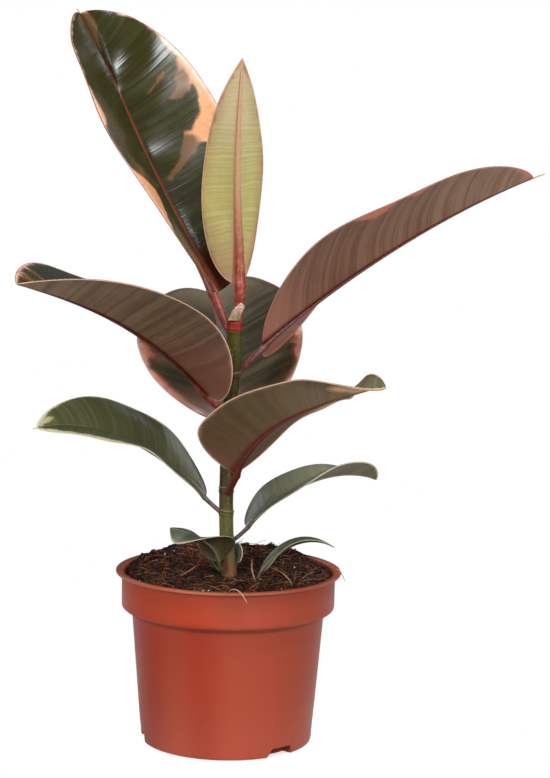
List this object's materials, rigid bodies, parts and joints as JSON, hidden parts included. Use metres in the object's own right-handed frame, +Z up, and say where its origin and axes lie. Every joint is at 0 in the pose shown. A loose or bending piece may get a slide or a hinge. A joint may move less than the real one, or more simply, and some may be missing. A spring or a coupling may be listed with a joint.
{
  "type": "potted rubber plant",
  "caption": "Young rubber plant with a woody stem and large oval variegated leaves, growing in a round tapered plastic nursery pot of soil.",
  "frame": {"origin": "centre of the pot's flat base, on the surface that the pot stands on", "axes": "+Z up along the pot's axis, +X to the right and +Y away in the view with the newest leaf's underside in front"},
  "size_m": [0.3165, 0.3411, 0.4556],
  "materials": {
    "pot_plastic": "terracotta coloured moulded plastic, satin",
    "soil": "dark coir and peat with perlite grains, crumbly",
    "stem_bark": "green young bark with ring scars",
    "dried_sheath": "papery dried leaf sheath",
    "leaf": "glossy dark green living leaf with cream and salmon margins, brown-pink underside",
    "young_leaf": "satin pale yellow-green young leaf with a pink midrib",
    "basal_leaf": "satin grey-green living leaf with a pale margin"
  },
  "bodies": {
    "root": {"pot": "pot_plastic", "soil": "soil", "stem": "stem_bark", "stipule_sheath": "dried_sheath", "leaf_upper_left": "leaf", "leaf_newest": "young_leaf", "leaf_upper_right": "leaf", "leaf_middle_left": "leaf", "leaf_middle_back": "leaf", "leaf_middle_front": "leaf", "leaf_lower_left": "leaf", "leaf_lower_right": "leaf", "leaf_basal_front": "basal_leaf", "leaf_basal_left": "basal_leaf", "leaf_basal_right": "basal_leaf", "leaf_basal_strap": "basal_leaf"}
  },
  "joints": []
}
